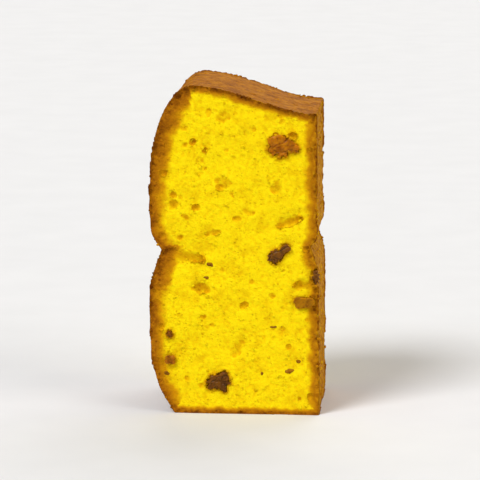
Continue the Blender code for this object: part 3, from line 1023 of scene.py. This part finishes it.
def shrivel(piece, skin, number):
    """Sinks creases into a fruit's skin, and notches into its rim as seen from the front."""
    rng = np.random.default_rng(number)
    points, normals = corners_of(piece.data), normals_of(piece.data)
    low, high = points.min(0), points.max(0)
    middle = (low + high) / 2
    wider, taller = GROWN.get(piece.name, FRUIT_GROWN)
    out = (points - middle) / ((high - low) / 2)
    points = middle + (points - middle) * (wider, 1.0, taller)
    sunk = np.full(len(points), -FRUIT_SWELL)
    shift = Vector((CREASES_APART * number, 0, 0))
    for size, depth, width in skin.creases:
        along = Vector(CREASE_STRETCH) / size
        height = [noise.noise(Vector(point) * along + shift) for point in points]
        sunk += depth * np.clip(1 - np.abs(height) / width, 0, 1) ** CREASE_SHARPNESS
    turn = np.arctan2(out[:, 2], out[:, 0])
    far = np.clip((np.hypot(out[:, 0], out[:, 2]) - NOTCH_FROM) / NOTCH_RISE, 0, 1)
    notch = np.zeros(len(points))
    for angle, deep in rim_notches(piece.name, skin, rng):
        apart = np.abs((turn - math.radians(angle) + math.pi) % (2 * math.pi) - math.pi)
        wide = rng.uniform(*NOTCH_WIDTH)
        notch = np.maximum(notch, deep * np.exp(-((apart / wide) ** 2)) * far)
    points -= normals * (sunk + notch * NOTCH_SINK)[:, None]
    points[:, 0] -= np.cos(turn) * notch
    points[:, 2] -= np.sin(turn) * notch
    set_corners(piece.data, points)


def press_flush(piece, sponge_skin):
    """Brings the cut side of a fruit near the level of the crumb round it."""
    points = corners_of(piece.data)
    low, high = points.min(0), points.max(0)
    face = BACK if low[1] + high[1] > 0 else FRONT
    centres = sponge_skin[0][faces_where(sponge_skin, face)]
    near = np.all((centres > low - RIM_REACH) & (centres < high + RIM_REACH), axis=1)
    level = np.median(np.abs(centres[near, 1])) + FRUIT_PROUD
    beyond = np.maximum(points[:, 1] * face - level, 0.0)
    points[:, 1] -= face * beyond * (1 - FRUIT_RELIEF)
    set_corners(piece.data, points)
    write_attribute(piece.data, "hollow", hollows(piece.data))


def make_fruit(node, material, skin, number):
    """The cut fruit of one of the solids, swollen to fill its pocket and shrivelled."""
    piece = work_on_copy(node, node + "_skin")
    apply_new(piece, "SUBSURF", levels=1, render_levels=1)
    apply_new(piece, "REMESH", mode="VOXEL", voxel_size=FRUIT_VOXEL)
    shrivel(piece, skin, number)
    size, depth = FRUIT_LUMPS
    apply_new(piece, "DISPLACE", texture=clouds(node + " lumps", size), texture_coords="LOCAL",
              strength=depth, mid_level=0.5)
    apply_new(piece, "SMOOTH", factor=0.5, iterations=1)
    piece.data.shade_smooth()
    wear(piece, material)
    return piece


def wear(piece, material):
    """Gives the piece this finish alone."""
    piece.data.materials.clear()
    piece.data.materials.append(material)
    piece.data.polygons.foreach_set("material_index", [0] * len(piece.data.polygons))


def finish_piece(piece, slot, *nodes):
    """Attaches a finished piece to the cake and hides the solids that it replaces. The slot is not used.
    """
    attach(piece, CAKE)
    if nodes:
        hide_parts(*nodes)


def make_specks(sponge_skin, material, rng):
    """Scraps of fruit that the knife has met, sunk in the cut faces."""
    centres = sponge_skin[0]
    turns, places = [], []
    for speck in SPECKS:
        face = faces_where(sponge_skin, speck.face)
        there = centres[face]
        near = (there[:, 0] - speck.x * MM) ** 2 + (there[:, 2] - speck.z * MM) ** 2
        level = np.median(there[np.argsort(near)[:SPECK_LEVEL_FROM], 1])
        normal = np.array([[0.0, float(speck.face), 0.0]])
        deep = min(speck.long, speck.tall) * SPECK_DEEP
        size = np.array([[speck.long / 2, speck.tall / 2, deep]]) * MM
        turns.append(lie_on(normal, np.array([math.radians(speck.turn) * speck.face]), size))
        places.append((speck.x * MM, level - speck.face * size[0, 2] * SPECK_SUNK, speck.z * MM))
    bpy.ops.mesh.primitive_ico_sphere_add(subdivisions=4, radius=1.0)
    form = take_form(bpy.context.object)
    specks = join_copies("fruit_specks", form, np.concatenate(turns), np.array(places))
    lump, depth = SPECK_LUMPS
    apply_new(specks, "DISPLACE", texture=clouds("speck lumps", lump), texture_coords="LOCAL",
              strength=depth, mid_level=0.6)
    write_attribute(specks.data, "hollow", hollows(specks.data))
    specks.data.shade_smooth()
    wear(specks, material)
    return specks


def make_all_fruit():
    """The solids of the fruit, and the skins that replace them."""
    looks = dict.fromkeys((*LOOKS.values(), *OWN_LOOKS.values()))
    finishes = {look: dried_fruit(look) for look in looks}
    solids, skins = [], []
    for number, part in enumerate(frame["record"]["subparts"]):
        node, kind = part["node"], part["material_slot"]
        if kind == "sponge":
            continue
        piece = make_fruit(node, finishes[OWN_LOOKS.get(node, LOOKS[kind])], SKINS[kind], number)
        finish_piece(piece, kind, node)
        solids.append(frame["nodes"][node])
        skins.append(piece)
    return solids, skins


def make_all_crumbs(skin, fruit_skins, rng):
    """The crumbs on the cut faces, round the rims of the fruit and on the bottom crust."""
    pieces = []
    for face, name in ((FRONT, "front"), (BACK, "back")):
        there = faces_where(skin, face)
        pieces.append(make_crumbs("crumbs_" + name, skin, there, CLINGING[face], CLINGING_RADIUS, rng))
        rim = there.copy()
        rim[rim] = [fruit_skins.find_nearest(centre, RIM_REACH)[0] is not None for centre in skin[0][rim]]
        pieces.append(make_crumbs("rim_crumbs_" + name, skin, rim, RIM_CRUMBS[face], RIM_RADIUS, rng,
                                  sunk=0.0, margin=None))
    under = faces_where(skin, "base")
    pieces.append(make_crumbs("crumbs_base", skin, under, BASE_CRUMBS, CLINGING_RADIUS, rng, sunk=0.1))
    return pieces


def make_cake():
    """The sponge with its fruit, and then the crumbs and scraps of fruit that lie on its faces."""
    sponge_finish = baked_sponge()
    solid_fruit, fruit = make_all_fruit()
    sponge = make_sponge(solid_fruit, fruit)
    crusts, fruit_skins = crust_tree(), surface_of(fruit)
    write_attribute(sponge.data, "hollow", hollows(sponge.data))
    # Painted shade round the front pores and tears
    write_attribute(sponge.data, "ochre_tone_and_pore_shade", painted_pore_shade(corners_of(sponge.data)))
    skin = read_skin(sponge.data)
    for piece in fruit:
        press_flush(piece, skin)
    rng = np.random.default_rng(CRUMB_SEED)
    for piece in (sponge, *make_all_crumbs(skin, fruit_skins, rng)):
        # Browning towards the crusts, with painted shade round the fruit
        browned_and_fruit_shade, based = brown_and_shade(corners_of(piece.data), crusts, fruit_skins)
        if piece.name == "crumbs_base":
            tones = rng.uniform(*BASE_CRUMB_TONE, len(browned_and_fruit_shade) // LUMP_CORNERS)
            browned_and_fruit_shade *= np.repeat(tones, LUMP_CORNERS)
        write_attribute(piece.data, "browned_and_fruit_shade", browned_and_fruit_shade)
        write_attribute(piece.data, "based", based)
        wear(piece, sponge_finish)
        finish_piece(piece, "sponge", *(("sponge",) if piece is sponge else ()))
    finish_piece(make_specks(skin, dried_fruit(SCRAP_LOOK), rng), "raisin")


def away_from_slice(turn, rise):
    """The way from the slice towards a lamp or the camera."""
    return Vector((math.sin(turn) * math.cos(rise), -math.cos(turn) * math.cos(rise), math.sin(rise)))


def add_sun(sun):
    light = bpy.data.lights.new(sun.name, "SUN")
    light.energy = sun.strength
    light.angle = math.radians(sun.softness)
    light.color = sun.colour
    lamp = bpy.data.objects.new(sun.name, light)
    away = away_from_slice(math.radians(sun.turn), math.radians(sun.rise))
    lamp.rotation_euler = (-away).to_track_quat("-Z", "Y").to_euler()
    bpy.context.scene.collection.objects.link(lamp)


def set_stage():
    """Pale floor, pale wall and soft studio light."""
    bpy.ops.object.select_all(action="DESELECT")
    middle = (0, 0, 0)
    bpy.ops.mesh.primitive_circle_add(vertices=96, radius=FLOOR_RADIUS, fill_type="NGON", location=middle)
    floor = bpy.context.object
    floor.name = "floor"
    paper = Finish("studio_paper")
    tone = paper.ramp(paper.noise(0.02, 2), FLOOR_TONES)
    floor.data.materials.append(paper.shade(tone, Roughness=0.9, Specular_IOR_Level=0.1))
    world = bpy.data.worlds.new("studio")
    bpy.context.scene.world = world
    world.use_nodes = True
    nodes, links = world.node_tree.nodes, world.node_tree.links
    seen = nodes.new("ShaderNodeLightPath").outputs["Is Camera Ray"]
    glow = nodes["Background"]
    glow.inputs["Color"].default_value = GLOW
    glow.inputs["Strength"].default_value = GLOW_STRENGTH
    wall = nodes.new("ShaderNodeBackground")
    wall.inputs["Color"].default_value = WALL
    wall.inputs["Strength"].default_value = 1.0
    either = nodes.new("ShaderNodeMixShader")
    links.new(seen, either.inputs["Fac"])
    links.new(glow.outputs["Background"], either.inputs[1])
    links.new(wall.outputs["Background"], either.inputs[2])
    links.new(either.outputs["Shader"], nodes["World Output"].inputs["Surface"])
    for sun in SUNS:
        add_sun(sun)


def set_camera():
    camera = bpy.data.cameras.new("camera")
    camera.sensor_width = SENSOR * 1000
    camera.lens = SENSOR / VIEW_HEIGHT * VIEW_DISTANCE * 1000
    item = bpy.data.objects.new("camera", camera)
    bpy.context.scene.collection.objects.link(item)
    low, high = SOLID_BOX
    middle = (Vector(low) + Vector(high)) / 2
    away = away_from_slice(VIEW_TURN, VIEW_RISE)
    item.location = middle + away * VIEW_DISTANCE
    item.rotation_euler = (-away).to_track_quat("-Z", "Y").to_euler()
    bpy.context.scene.camera = item
    bpy.context.scene.view_settings.view_transform = "Standard"


make_cake()
set_stage()
set_camera()
